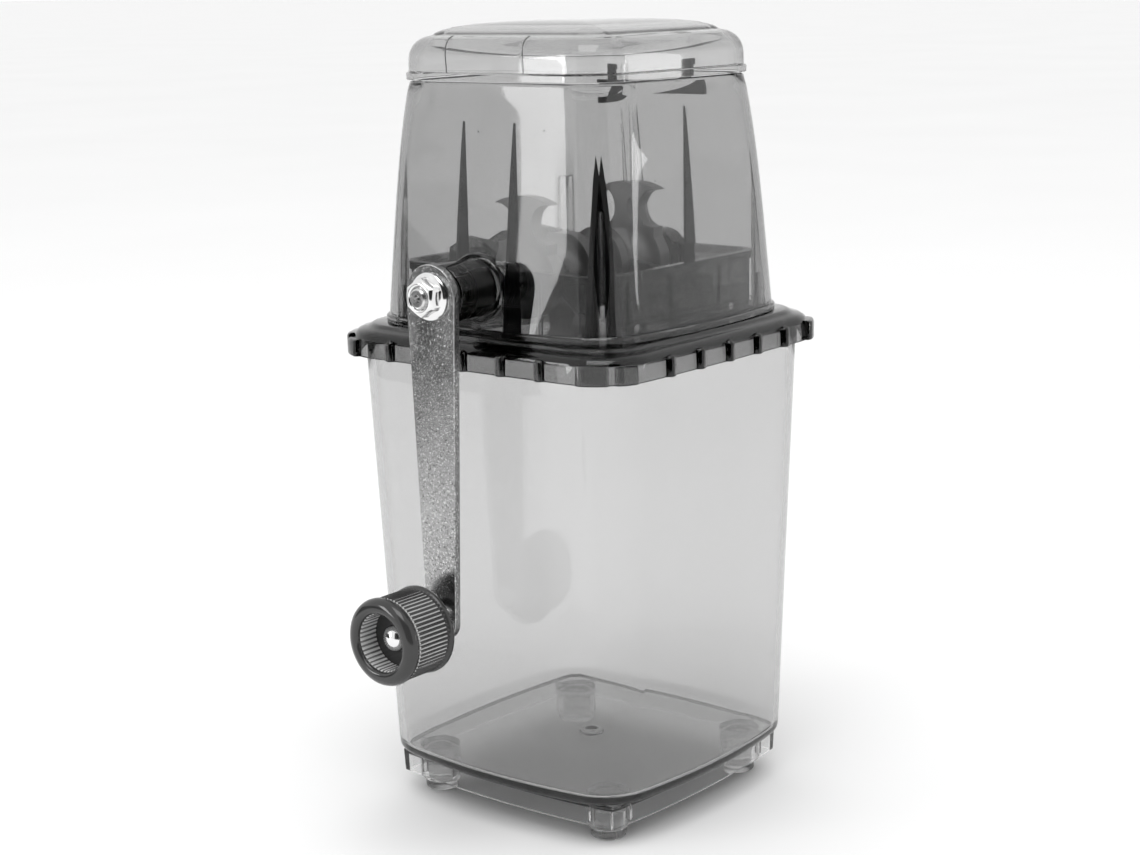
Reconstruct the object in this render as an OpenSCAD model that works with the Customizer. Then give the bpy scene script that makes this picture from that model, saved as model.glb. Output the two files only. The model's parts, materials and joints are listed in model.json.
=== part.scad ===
// Hand-cranked ice crusher: a clear container, a screwed-together crushing head that lifts off it,
// a loose lid, and a rotor of four claws turned by a crank with a spinning knob.
// Z is up, the crank is on the -Y face, and the origin is on the surface it stands on.

/* [Container] */
// Half width of the container at its foot, at the corners
container_foot = 50.1; // [47:0.1:51]
// Half width of the container at its rim, at the corners
container_rim = 54.2; // [53:0.1:54.3]
// Height of the container's underside
container_base = 14; // [12:0.5:16]
// Height of the container's rim
container_top = 152; // [145:0.5:152]
// Wall thickness of the container
container_wall = 2; // [1.5:0.1:2.5]

/* [Base and feet] */
// Half width of the base skirt at its sharp corners
base_half = 43.9; // [43:0.1:45]
// Height of the skirt's lower edge
skirt_bottom = 6.3; // [5:0.1:8]
// Distance of each foot from the middle, along X and Y
foot_offset = 35; // [32:0.5:35]
// Radius of a foot column
column_radius = 6.5; // [6:0.1:6.8]
// Radius of a foot pad
pad_radius = 5.7; // [5:0.1:6]

/* [Collar and hopper] */
// Half width of the collar's skirt
collar_half = 56.9; // [56.8:0.1:58]
// Height of the collar's lower edge
collar_bottom = 147.1; // [145:0.1:149]
// Height of the collar's top, where the hopper stands
collar_top = 156.8; // [156.8:0.1:158]
// Half width of the hopper at its foot
hopper_foot = 48.4; // [47.5:0.1:49]
// Half width of the hopper at its mouth
hopper_mouth = 41.3; // [40.5:0.1:42]
// Height of the hopper's mouth
hopper_top = 231.9; // [225:0.1:235]
// Wall thickness of the hopper
hopper_wall = 2; // [1.6:0.1:2.4]

/* [Lid] */
// Half width of the lid's rim
lid_half = 41.9; // [41.5:0.1:43]
// Wall thickness of the lid
lid_wall = 1.8; // [1.5:0.1:2]
// Height of the lid above its rim's lower edge
lid_height = 17.3; // [15:0.1:20]

/* [Crusher box] */
// Half width of the crusher box
box_half = 41; // [40.5:0.1:41]
// Height of the crusher box's lower edge
box_bottom = 146.5; // [144:0.1:147]
// Height of the crusher box's rim
box_top = 176; // [174:0.1:178]

/* [Rotor and crank] */
// Height of the shaft's axis
shaft_z = 171.5; // [171:0.1:172]
// Radius swept by the claws
claw_reach = 25.5; // [24:0.1:25.5]
// Distance between claws along the shaft
claw_pitch = 17.5; // [17.3:0.1:17.5]
// Place of the first claw along Y
claw_first = -25.3; // [-25.5:0.1:-25.2]
// Distance from the shaft to the knob's axis
crank_radius = 99.4; // [95:0.1:104]
// Place of the arm's outer face along Y
arm_face = -70.7; // [-71:0.1:-70.5]
// Thickness of the crank arm
arm_thick = 2.5; // [2:0.1:2.6]
// Length of the knob's grip
knob_length = 19.4; // [18:0.1:22]
// Largest radius of the knob
knob_radius = 13.4; // [13:0.1:15]

/* [Hidden] */

arc_steps = 8;
side_steps = 6;
clear_gap = 0.3;

// Screws that hold hopper, collar and crusher box together, on the corners' diagonals
post_place = 56.4 / sqrt(2);
post_radius = 2.4;
pilot_radius = 1.2;
pilot_top = 195;
screw_hole = 1.6;
screw_length = 16;
screw_head = 2.7;
flange_thick = 2.5;
plate_thick = 2;
flange_top = collar_top - plate_thick;
flange_bottom = flange_top - flange_thick;
box_corner = 10;
box_wall = 2;
box_inset = 0.6;
wall_inner = box_half - box_inset - box_wall;
inner_corner = box_corner - box_inset - box_wall;

// Screws that hold the combs to the box
comb_screw = 1.3;
comb_screw_y = 24;
comb_screw_z = 159;

// Sleeve and shaft
sleeve_radius = 9;
sleeve_seat = -50.8;
spigot_radius = 7.2;
ring_bore = 6.6;
ring_radius = 8.6;
ring_place = -46.5;
ring_thick = 1.2;
bush_radius = 5.8;
journal_radius = 4;
rear_journal = 3;
running_fit = 0.05;
square_half = 3.5;
thread_radius = 3;
flat_half = 3.2;
sleeve_end = arm_face + arm_thick + 1.6;
spigot_end = -43.6;
box_front = -box_half;
bush_end = box_half + 2.6;
rotor_start = claw_first - 6.7;
hub_radius = 6.5;
disc_radius = 12.5;
disc_half = 2.5;
rotor_end = claw_first + 3 * claw_pitch + claw_pitch - 6.7;
claw_turns = [0, 180, 90, 0];

// Knob and its rivet
knob_z = shaft_z - crank_radius;
knob_back = arm_face - 7.7;
knob_floor = 11.5;
knob_bore = 9;
knob_neck = 7;
rivet_radius = 2.5;

// Two-dimensional outline of a rounded square whose sides bow outwards

function turn(a, p) = [p.x * cos(a) - p.y * sin(a), p.x * sin(a) + p.y * cos(a)];

function corner_arc(half, r) = [for (i = [0:arc_steps]) let(a = 90 * i / arc_steps)
    [half - r + r * cos(a), half - r + r * sin(a)]];

function side_arc(half, r, bulge) = [for (i = [1:side_steps - 1]) let(t = 2 * i / side_steps - 1)
    [-t * (half - r), half + bulge * (1 - t * t)]];

function outline(half, r, bulge) = [for (q = [0:3])
    for (p = concat(corner_arc(half, r), side_arc(half, r, bulge))) turn(90 * q, p)];

// Solid through a stack of rings, each [half width, corner radius, bulge, height]
module loft(rings) {
    n = 4 * (arc_steps + side_steps);
    m = len(rings);
    points = [for (g = rings) for (p = outline(g[0], g[1], g[2])) [p.x, p.y, g[3]]];
    walls = [for (j = [0:m - 2]) for (i = [0:n - 1])
        [j * n + i, (j + 1) * n + i, (j + 1) * n + (i + 1) % n, j * n + (i + 1) % n]];
    bottom = [for (i = [0:n - 1]) i];
    top = [for (i = [n - 1:-1:0]) (m - 1) * n + i];
    polyhedron(points, concat([bottom, top], walls));
}

// Straight block on the same outline, from one height to another
module block(half, r, z0, z1) {
    translate([0, 0, z0]) linear_extrude(z1 - z0) rounded(half, r);
}

module rounded(half, r) {
    square([2 * half, 2 * (half - r)], center = true);
    square([2 * (half - r), 2 * half], center = true);
    for (x = [-1, 1], y = [-1, 1]) translate([x, y] * (half - r)) circle(r, $fn = 48);
}

// Round bar along Y at a height, from one y to another
module bar(r, y0, y1, z) {
    translate([0, y0, z]) rotate([-90, 0, 0]) cylinder(r = r, h = y1 - y0, $fn = 64);
}

// Profile of [radius, y] points turned about an axis along Y
module turned(z, points) {
    translate([0, 0, z]) rotate([-90, 0, 0]) rotate_extrude($fn = 96) polygon(points);
}

// Flat shape drawn in X and Z, as a plate from one y to another
module plate(y0, y1) {
    translate([0, y1, 0]) rotate([90, 0, 0]) linear_extrude(y1 - y0) children();
}

module at_corners(d) {
    for (x = [-1, 1], y = [-1, 1]) translate([x * d, y * d, 0]) children();
}

// ---- container ----

function container_half(z) = container_foot
    + (container_rim - container_foot) * (z - 20) / (container_top - 20);
function container_bulge(z) = 2.7 - 2.1 * (z - 20) / (container_top - 20);
function container_ring(z, inset, lift = 0) =
    [container_half(z) - inset, 18 - inset, container_bulge(z), z + lift];

module container() {
    floor_z = container_base + 2.4;
    color([0.78, 0.79, 0.8, 0.4]) {
        loft([
            container_ring(container_base, 2),
            container_ring(container_base + 1.2, 0.7),
            container_ring(container_base + 3.5, 0),
            container_ring(container_top, 0),
            container_ring(container_top, container_wall),
            container_ring(floor_z + 2, container_wall),
            container_ring(floor_z, container_wall + 2)
        ]);
        translate([0, 0, floor_z]) cylinder(r = 4.1, h = 0.5, $fn = 48);
    }
}

module base_tray() {
    plate_z = container_base - 2;
    color([0.45, 0.46, 0.47, 0.7]) difference() {
        union() {
            difference() {
                loft([[base_half, 0.8, 2.9, skirt_bottom], [base_half + 0.3, 0.8, 2.9, container_base]]);
                loft([[base_half - 1.6, 0.6, 2.9, skirt_bottom - 1], [base_half - 1.6, 0.6, 2.9, plate_z]]);
            }
            at_corners(foot_offset) translate([0, 0, 3.3])
                cylinder(r = column_radius, h = container_base - 3.3, $fn = 64);
        }
        at_corners(foot_offset) translate([0, 0, 3]) cylinder(r = 4, h = 6.3, $fn = 64);
    }
}

module foot(x, y) {
    color([0.5, 0.5, 0.5]) translate([x * foot_offset, y * foot_offset, 0]) rotate_extrude($fn = 64)
        polygon([[0, 0], [pad_radius - 0.6, 0], [pad_radius, 0.6], [pad_radius, 3.3], [4, 3.3], [4, 8.8],
            [3.5, 9.3], [0, 9.3]]);
}
module foot_1() { foot(-1, -1); }
module foot_2() { foot(1, -1); }
module foot_3() { foot(1, 1); }
module foot_4() { foot(-1, 1); }

// ---- crushing head ----

// Grip rib on the collar's skirt, on the +Y side, with a rounded top
module grip_rib(x) {
    rib = 1.7;
    rib_top = collar_top - 4.8;
    translate([x, collar_half + 0.4, collar_bottom]) cylinder(r = rib, h = rib_top - collar_bottom, $fn = 32);
    translate([x, collar_half + 0.4, rib_top]) sphere(r = rib, $fn = 32);
}

// Wide grip block round one corner of the collar
module grip_block() {
    r = 17.8;
    c = collar_half - r;
    translate([c, c, collar_bottom]) rotate([0, 0, 20])
        rotate_extrude(angle = 50, $fn = 96) polygon([[r - 1, 0], [r + 1.9, 0], [r + 1.9, 5.5],
            [r + 1.2, 6.4], [r - 1, 6.4]]);
}

module collar() {
    rib_step = 15;
    color([0.3, 0.31, 0.32, 0.8]) difference() {
        union() {
            loft([
                [collar_half, 17.8, 0.3, collar_bottom],
                [collar_half - 0.3, 17.5, 0.3, collar_top - 4.2],
                [collar_half - 1, 16.8, 0.3, collar_top - 2.4],
                [collar_half - 2.4, 15.8, 0.4, collar_top - 1.3],
                [collar_half - 4.4, 15, 0.8, collar_top - 0.6],
                [collar_half - 6, 15, 1.6, collar_top]
            ]);
            for (q = [0:3]) rotate([0, 0, 90 * q]) {
                for (i = [-2:2]) grip_rib(i * rib_step);
                grip_block();
            }
        }
        loft([[collar_half - 1.7, 16.4, 0.3, collar_bottom - 1],
            [collar_half - 1.7, 16.4, 0.3, container_top + clear_gap]]);
        block(48, 12, container_top, flange_top);
        block(box_half + clear_gap, box_corner + clear_gap, flange_top - 1, collar_top + 1);
        at_corners(post_place) translate([0, 0, collar_bottom]) cylinder(r = screw_hole, h = 20, $fn = 32);
    }
}

function hopper_half(t) = hopper_foot - (hopper_foot - hopper_mouth) * (0.775 * t + 0.225 * pow(t, 4));
function hopper_ring(t, inset) = let(z0 = collar_top + 2.4)
    [hopper_half(t) - inset, 17.5 - 3.2 * t - inset, 2.6 * (1 - 0.92 * t), z0 + (hopper_top - z0) * t];

module hopper_outside() {
    loft(concat([[49.2, 17.8, 2.8, collar_top], [49.2, 17.8, 2.8, collar_top + 2.1]],
        [for (i = [0:8]) hopper_ring(i / 8, 0)]));
}

module hopper_inside() {
    loft(concat([[hopper_foot - hopper_wall, 15.5, 2.6, collar_top - 1]],
        [for (i = [0:8]) hopper_ring(i / 8, hopper_wall)],
        [[hopper_mouth - hopper_wall, 12.3, 0.2, hopper_top + 1]]));
}

module hopper() {
    rib_x = 10;
    rib_face = box_half + 0.4;
    color([0.33, 0.34, 0.35, 0.75]) difference() {
        union() {
            difference() {
                hopper_outside();
                difference() {
                    hopper_inside();
                    at_corners(post_place) translate([0, 0, collar_top - 2])
                        cylinder(r = post_radius, h = hopper_top - collar_top - 8, $fn = 48);
                    for (x = [-1, 1], y = [-1, 1]) translate([x * rib_x - 0.7, y > 0 ? rib_face : -60, 150])
                        cube([1.4, 60 - rib_face, hopper_top - 158]);
                }
            }
            difference() {
                bar(10.5, sleeve_seat, -47, shaft_z);
                hopper_inside();
            }
        }
        at_corners(post_place) translate([0, 0, collar_top - 1])
            cylinder(r = pilot_radius, h = pilot_top - collar_top + 1, $fn = 32);
        bar(spigot_radius, -60, -40, shaft_z);
    }
}

module crusher_box() {
    boss_radius = 8.6;
    boss_end = box_half + 4;
    rim_height = 2.6;
    notch = hub_radius + 0.5;
    color([0.2, 0.21, 0.22, 0.85]) difference() {
        union() {
            block(box_half - box_inset, box_corner - box_inset, box_bottom, box_top);
            block(box_half, box_corner, box_top - rim_height, box_top);
            block(46, box_corner, flange_bottom, flange_top);
            bar(boss_radius, wall_inner, boss_end, shaft_z);
            for (q = [0:3]) rotate([0, 0, 90 * q])
                for (x = [-17.5, 7.5, 28]) translate([x - 0.6, box_half - 1.6, flange_bottom])
                    cube([1.2, 1.6, box_top - flange_bottom - 1]);
        }
        block(wall_inner, inner_corner, box_bottom - 1, box_top + 10);
        at_corners(post_place) translate([0, 0, flange_bottom - 1]) cylinder(r = screw_hole, h = 5, $fn = 32);
        bar(notch, -box_half - 2, -box_half + 6, shaft_z);
        translate([-notch, -box_half - 2, shaft_z]) cube([2 * notch, 8, 20]);
        bar(bush_radius, wall_inner - 1, bush_end, shaft_z);
        for (side = [0, 1]) mirror([side, 0, 0]) comb_holes();
    }
}

// Fixed teeth that stand between the claws, on a strip along the +X side wall
module comb(tooth) {
    tooth_half = 1.75;
    strip = 2;
    strip_half = wall_inner - inner_corner - clear_gap;
    difference() {
        union() {
            translate([wall_inner - strip, -strip_half, 154]) cube([strip, 2 * strip_half, 12]);
            for (i = [0:2]) {
                y = claw_first + 6.2 + i * claw_pitch;
                plate(y - tooth_half, y + tooth_half) polygon(tooth);
            }
        }
        comb_holes();
    }
}
module comb_holes() {
    for (y = [-comb_screw_y, comb_screw_y]) translate([wall_inner - 4, y, comb_screw_z])
        rotate([0, 90, 0]) cylinder(r = comb_screw, h = 7, $fn = 32);
}
module comb_left() {
    color([0.75, 0.75, 0.75]) mirror([1, 0, 0]) comb([[37, 156], [37, 178], [30, 182], [22, 181], [9, 172.5],
        [8.5, 168], [14, 161]]);
}
module comb_right() {
    color([0.75, 0.75, 0.75]) comb([[37, 156], [37, 170], [28, 170], [9, 173], [8.5, 168], [14, 161]]);
}
module comb_screws() {
    color([0.8, 0.8, 0.8]) for (side = [0, 1], y = [-comb_screw_y, comb_screw_y]) mirror([side, 0, 0])
        translate([wall_inner - 2, y, comb_screw_z]) rotate([0, 90, 0]) {
            cylinder(r = comb_screw, h = 4, $fn = 32);
            translate([0, 0, -1.5]) cylinder(r = 2.6, h = 1.5, $fn = 32);
        }
}

module front_sleeve() {
    color([0.22, 0.23, 0.24, 0.85]) turned(shaft_z, [
        [bush_radius, sleeve_end + 9], [journal_radius + 1, sleeve_end + 9], [journal_radius + 1, sleeve_end],
        [sleeve_radius - 0.4, sleeve_end], [sleeve_radius, sleeve_end + 0.4], [sleeve_radius, sleeve_seat],
        [spigot_radius, sleeve_seat], [spigot_radius, ring_place], [ring_bore, ring_place],
        [ring_bore, ring_place + ring_thick], [spigot_radius, ring_place + ring_thick],
        [spigot_radius, spigot_end],
        [bush_radius, spigot_end]
    ]);
}
module sleeve_ring() {
    color([0.85, 0.85, 0.86]) turned(shaft_z, [[ring_bore, ring_place], [ring_radius, ring_place],
        [ring_radius, ring_place + ring_thick], [ring_bore, ring_place + ring_thick]]);
}
module front_bush() {
    bore = journal_radius + running_fit;
    color([0.92, 0.91, 0.88]) turned(shaft_z, [[bore, sleeve_end + 9], [bush_radius, sleeve_end + 9],
        [bush_radius, spigot_end], [bore, spigot_end]]);
}
module rear_bush() {
    bore = rear_journal + running_fit;
    color([0.92, 0.91, 0.88]) turned(shaft_z, [[bore, wall_inner], [bush_radius, wall_inner],
        [bush_radius, bush_end], [bore, bush_end]]);
}
module housing_screws() {
    color([0.8, 0.8, 0.8]) at_corners(post_place) translate([0, 0, flange_bottom]) {
        cylinder(r = pilot_radius, h = screw_length, $fn = 32);
        translate([0, 0, -1.8]) cylinder(r = screw_head, h = 1.8, $fn = 32);
    }
}

// ---- lid ----

lid_base = hopper_top + clear_gap;
lid_scale = lid_height / 17.3;
lid_bow = 0.2;
function lid_ring(inset, rise) = [lid_half - inset, max(14.3 - 0.8 * inset, 1), lid_bow, lid_base + rise];
// Outside of the lid from rim to crown, as [inset, rise], and its inside from crown to rim
lid_outside = [[0, 0], [0, 2.1], [0.7, 2.5], [0.8, 6.5], [1.4, 9], [2.8, 11.2], [5.2, 12.8], [8, 13.4],
    [9, 14.3], [14, 15.8], [24, 16.9], [37, 17.3]];
lid_inside = [[37, 15.5], [14, 14], [7.2, 11.2], [4.2, 9.5], [2.7, 6.5], [2.5, 2.5], [lid_wall, 2],
    [lid_wall, 0]];

module lid() {
    color([0.35, 0.36, 0.37, 0.7])
        loft([for (p = concat(lid_inside, lid_outside)) lid_ring(p[0], lid_scale * p[1])]);
}

// Tongue pressed into the back of the lid; it hangs just inside the hopper's mouth
module lid_tongue() {
    half = 21;
    arm_x = 14;
    inner_y = lid_half - 4.9;
    thick = 1.8;
    color([0.15, 0.15, 0.16, 0.9]) {
        for (x = [-arm_x, arm_x]) {
            translate([x - 2, inner_y, lid_base - 4]) cube([4, thick, 10]);
            translate([x - 2, inner_y + thick, lid_base + 3]) cube([4, 0.8, 3]);
        }
        translate([-half, inner_y, lid_base - 8]) cube([2 * half, thick, 4.6]);
    }
}

// ---- rotor and crank ----

module drive_shaft() {
    thread_end = arm_face - 5.6;
    color([0.7, 0.7, 0.72]) difference() {
        union() {
            turned(shaft_z, [[0, thread_end], [thread_radius - 0.5, thread_end],
                [thread_radius, thread_end + 0.5], [thread_radius, arm_face + 1], [0, arm_face + 1]]);
            intersection() {
                bar(journal_radius, arm_face, arm_face + arm_thick + 0.5, shaft_z);
                translate([-flat_half, arm_face - 1, shaft_z - 10]) cube([2 * flat_half, 20, 20]);
            }
            bar(journal_radius, arm_face + arm_thick, box_front - 1, shaft_z);
            translate([-square_half, box_front - 1, shaft_z - square_half])
                cube([2 * square_half, rotor_end - box_front + 1, 2 * square_half]);
            bar(rear_journal, rotor_end, bush_end - 0.2, shaft_z);
        }
        bar(1.2, thread_end - 1, thread_end + 1.6, shaft_z);
    }
}

module square_bore(y0, y1) {
    translate([-square_half, y0 - 1, shaft_z - square_half])
        cube([2 * square_half, y1 - y0 + 2, 2 * square_half]);
}

module rotor_spacer() {
    color([0.62, 0.63, 0.64]) difference() {
        bar(6.2, box_front - 1, rotor_start, shaft_z);
        square_bore(box_front - 1, rotor_start);
    }
}
module thrust_washer() {
    color([0.85, 0.85, 0.86]) turned(shaft_z, [[journal_radius, box_front - 2], [6.2, box_front - 2],
        [6.2, box_front - 1], [journal_radius, box_front - 1]]);
}

// Axe-shaped head on a narrow neck, pointing up from the shaft
module claw_shape() {
    neck = 3.8;
    side = 6;
    waist = 17;
    difference() {
        intersection() {
            circle(claw_reach, $fn = 128);
            translate([-14, 0]) square([28, 30]);
        }
        for (m = [0, 1]) mirror([m, 0]) {
            translate([neck + side, waist]) circle(side, $fn = 64);
            translate([neck + side, -5]) square([20, waist + side + 5]);
        }
    }
}

module claw(i) {
    y = claw_first + i * claw_pitch;
    y0 = y - 6.7;
    y1 = y0 + claw_pitch;
    flare = [for (k = [0:6]) let(a = 90 * k / 6)
        [hub_radius + (disc_radius - 1.5 - hub_radius) * (1 - cos(a)), y0 + (y - disc_half - y0) * sin(a)]];
    color([0.6, 0.61, 0.62]) difference() {
        union() {
            turned(shaft_z, concat([[0, y0]], flare, [[disc_radius, y - disc_half],
                [disc_radius, y + disc_half], [hub_radius, y + disc_half], [hub_radius, y1], [0, y1]]));
            translate([0, 0, shaft_z]) plate(y - disc_half, y + disc_half)
                rotate(claw_turns[i]) claw_shape();
        }
        square_bore(y0, y1);
    }
}
module claw_1() { claw(0); }
module claw_2() { claw(1); }
module claw_3() { claw(2); }
module claw_4() { claw(3); }

module crank_arm() {
    top = 9.5;
    low = 5.8;
    outer = concat([for (a = [0:6:180]) [top * cos(a), shaft_z + top * sin(a)]],
        [for (a = [180:10:360]) [low * cos(a), knob_z + low * sin(a)]]);
    color([0.78, 0.78, 0.79]) difference() {
        plate(arm_face, arm_face + arm_thick) polygon(outer);
        intersection() {
            bar(journal_radius, arm_face - 1, arm_face + arm_thick + 1, shaft_z);
            translate([-flat_half, arm_face - 2, shaft_z - 10]) cube([2 * flat_half, 10, 20]);
        }
        bar(rivet_radius, arm_face - 1, arm_face + arm_thick + 1, knob_z);
    }
}
module arm_washer() {
    back = arm_face + arm_thick;
    color([0.9, 0.9, 0.88]) turned(shaft_z, [[journal_radius, back], [7.5, back], [7.5, back + 1.2],
        [journal_radius, back + 1.2]]);
}
module crank_nut() {
    height = 5;
    flange = 7.1;
    corner = 6;
    face = arm_face - height;
    color([0.9, 0.9, 0.91]) difference() {
        union() {
            turned(shaft_z, [[0, arm_face], [flange, arm_face], [flange, arm_face - 0.8],
                [corner - 0.6, arm_face - 1.7], [0, arm_face - 1.7]]);
            intersection() {
                translate([0, face, shaft_z]) rotate([-90, 0, 0]) cylinder(r = corner, h = height - 1, $fn = 6);
                turned(shaft_z, [[0, face], [corner - 1.2, face], [corner, face + 1.1], [corner, arm_face - 1],
                    [0, arm_face - 1]]);
            }
        }
        bar(thread_radius, face - 1, arm_face + 1, shaft_z);
    }
}
module knob_washer() {
    color([0.8, 0.8, 0.8]) turned(knob_z, [[rivet_radius, arm_face - 2.2], [5, arm_face - 2.2], [5, arm_face],
        [rivet_radius, arm_face]]);
}
module knob_rivet() {
    head_y = knob_back - knob_floor - clear_gap;
    back = arm_face + arm_thick;
    dome = [for (i = [0:8]) let(a = 90 * i / 8) [4 * cos(a), head_y - 0.6 - 2.8 * sin(a)]];
    color([0.9, 0.9, 0.91]) turned(knob_z, concat([[0, back + 1.3], [3.4, back + 1.3], [4, back],
        [rivet_radius, back], [rivet_radius, head_y], [4, head_y]], dome));
}

// Fluted grip on a narrower neck, with an open, hollow front and a rounded bezel
module crank_knob() {
    front = knob_back - knob_length;
    flutes = 60;
    bezel = 4;
    body = knob_radius - 0.5;
    color([0.2, 0.21, 0.22, 0.85]) difference() {
        union() {
            turned(knob_z, [[0, knob_back], [knob_radius - 1, knob_back], [knob_radius, knob_back - 1],
                [knob_radius, knob_back - 2.2], [body - 0.5, knob_back - 3], [body - 0.5, front + bezel],
                [0, front + bezel]]);
            turned(knob_z, [[0, front], [knob_bore, front], [knob_bore + 2, front + 0.2],
                [body - 1.4, front + 0.9], [body - 0.5, front + 2.2], [body - 0.5, front + bezel],
                [0, front + bezel]]);
            bar(knob_neck, knob_back - 1, arm_face - 2.5, knob_z);
            translate([0, knob_back - 2, knob_z]) rotate([90, 0, 0]) linear_extrude(knob_length - bezel - 2)
                polygon([for (i = [0:2 * flutes - 1]) let(a = 180 * i / flutes, r = body - 0.4 * (i % 2))
                    [r * cos(a), r * sin(a)]]);
        }
        bar(knob_bore, front - 1, knob_back - knob_floor, knob_z);
        bar(rivet_radius + running_fit, front, arm_face, knob_z);
    }
}

container();
base_tray();
foot_1();
foot_2();
foot_3();
foot_4();
collar();
hopper();
crusher_box();
comb_left();
comb_right();
comb_screws();
front_sleeve();
sleeve_ring();
front_bush();
rear_bush();
housing_screws();
lid();
lid_tongue();
drive_shaft();
rotor_spacer();
thrust_washer();
claw_1();
claw_2();
claw_3();
claw_4();
crank_arm();
arm_washer();
crank_nut();
knob_rivet();
knob_washer();
crank_knob();
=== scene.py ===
"""Looks of a hand-cranked ice crusher: clear container, smoke-grey head and lid, claw rotor and crank.

Every piece is built in the CAD model's frame. Sizes below are in millimetres, as in the CAD source, and
mm() turns them into Blender's metres.
"""

import json
import math

import bmesh
import bpy
from mathutils import Matrix, Vector


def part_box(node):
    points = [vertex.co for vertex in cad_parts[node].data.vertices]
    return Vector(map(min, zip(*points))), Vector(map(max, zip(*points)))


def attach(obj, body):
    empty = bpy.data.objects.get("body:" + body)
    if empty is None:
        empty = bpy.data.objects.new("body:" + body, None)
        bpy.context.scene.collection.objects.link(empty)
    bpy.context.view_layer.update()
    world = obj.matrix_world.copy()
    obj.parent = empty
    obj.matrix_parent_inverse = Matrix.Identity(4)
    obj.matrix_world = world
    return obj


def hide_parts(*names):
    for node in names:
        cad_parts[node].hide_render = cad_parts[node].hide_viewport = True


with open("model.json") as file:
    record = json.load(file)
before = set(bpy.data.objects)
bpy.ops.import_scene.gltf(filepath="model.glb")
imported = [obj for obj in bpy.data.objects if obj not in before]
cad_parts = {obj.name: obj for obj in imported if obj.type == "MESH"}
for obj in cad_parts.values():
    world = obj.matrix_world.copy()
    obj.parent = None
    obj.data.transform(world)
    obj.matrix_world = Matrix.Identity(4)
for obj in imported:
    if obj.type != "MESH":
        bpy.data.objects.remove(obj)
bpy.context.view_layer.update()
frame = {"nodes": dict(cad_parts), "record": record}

NODES = frame["nodes"]
BODY = {n: b for b, names in frame["record"]["behaviour"]["bodies"].items() for n in names}
SLOT = {part["node"]: part["material_slot"] for part in frame["record"]["subparts"]}
MM = 0.001


def mm(*values):
    return Vector(values) * MM


def span(node):
    """Lowest and highest corner of a CAD node, in millimetres."""
    lo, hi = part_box(node)
    return lo / MM, hi / MM


# ---- measures taken from the frame ----

CONTAINER_LO, CONTAINER_HI = span("container")
TRAY_LO, TRAY_HI = span("base_tray")
COLLAR_LO, COLLAR_HI = span("collar")
HOPPER_LO, HOPPER_HI = span("hopper")
LID_LO, LID_HI = span("lid")
KNOB_LO, KNOB_HI = span("crank_knob")
ARM_LO, ARM_HI = span("crank_arm")
NUT_LO, NUT_HI = span("crank_nut")
SLEEVE_LO, SLEEVE_HI = span("front_sleeve")

SHAFT_Z = (SLEEVE_LO.z + SLEEVE_HI.z) / 2
KNOB_Z = (KNOB_LO.z + KNOB_HI.z) / 2
WALL = 2
POST_PLACE = 56.4 / math.sqrt(2)

# See-through solids stay this far apart, so that no two of their faces coincide
GAP = 0.05
GAPPED = ("smoke", "smoke_light", "smoke_dark", "foot", "fastener")

CORNER_STEPS = 20
SIDE_STEPS = 22


# ---- meshes ----

def new_object(name, mesh):
    obj = bpy.data.objects.new(name, mesh)
    bpy.context.scene.collection.objects.link(obj)
    return obj


def object_from(name, bm):
    """A Blender object from a bmesh that was drawn in millimetres."""
    bmesh.ops.recalc_face_normals(bm, faces=bm.faces)
    bm.transform(Matrix.Scale(MM, 4))
    mesh = bpy.data.meshes.new(name)
    bm.to_mesh(mesh)
    bm.free()
    return new_object(name, mesh)


def smooth(obj, angle=32):
    """Smooth shading, with edges sharper than the angle kept sharp."""
    obj.data.shade_smooth()
    obj.data.set_sharp_from_angle(angle=math.radians(angle))
    return obj


def outline(half, radius, bow):
    """Rounded square whose sides bow outwards, made of arcs that meet smoothly."""
    centre = half - radius
    tilt = 2 * math.atan2(bow, centre)
    quarter = []
    for i in range(CORNER_STEPS + 1):
        a = tilt + (math.pi / 2 - 2 * tilt) * i / CORNER_STEPS
        quarter.append((centre + radius * math.cos(a), centre + radius * math.sin(a)))
    x_end, y_end = quarter[-1]
    for i in range(1, SIDE_STEPS):
        share = i / SIDE_STEPS
        if bow > 1e-6:
            side_radius = centre / math.sin(tilt) + radius
            a = math.pi / 2 - tilt + 2 * tilt * share
            quarter.append((side_radius * math.cos(a),
                            half + bow - side_radius + side_radius * math.sin(a)))
        else:
            quarter.append((x_end * (1 - 2 * share), y_end))
    return [turned for q in range(4) for turned in (quarter_turn(p, q) for p in quarter)]


def quarter_turn(point, times):
    x, y = point
    for _ in range(times):
        x, y = -y, x
    return x, y


def loft(name, rings):
    """Closed solid through a stack of rings, each (half width, corner radius, bow, height)."""
    bm = bmesh.new()
    loops = []
    for half, radius, bow, z in rings:
        loops.append([bm.verts.new((x, y, z)) for x, y in outline(half, max(radius, 0.3), bow)])
    for low, high in zip(loops, loops[1:]):
        for i in range(len(low)):
            j = (i + 1) % len(low)
            bm.faces.new((low[i], low[j], high[j], high[i]))
    bm.faces.new(loops[0])
    bm.faces.new(loops[-1])
    return object_from(name, bm)


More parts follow.
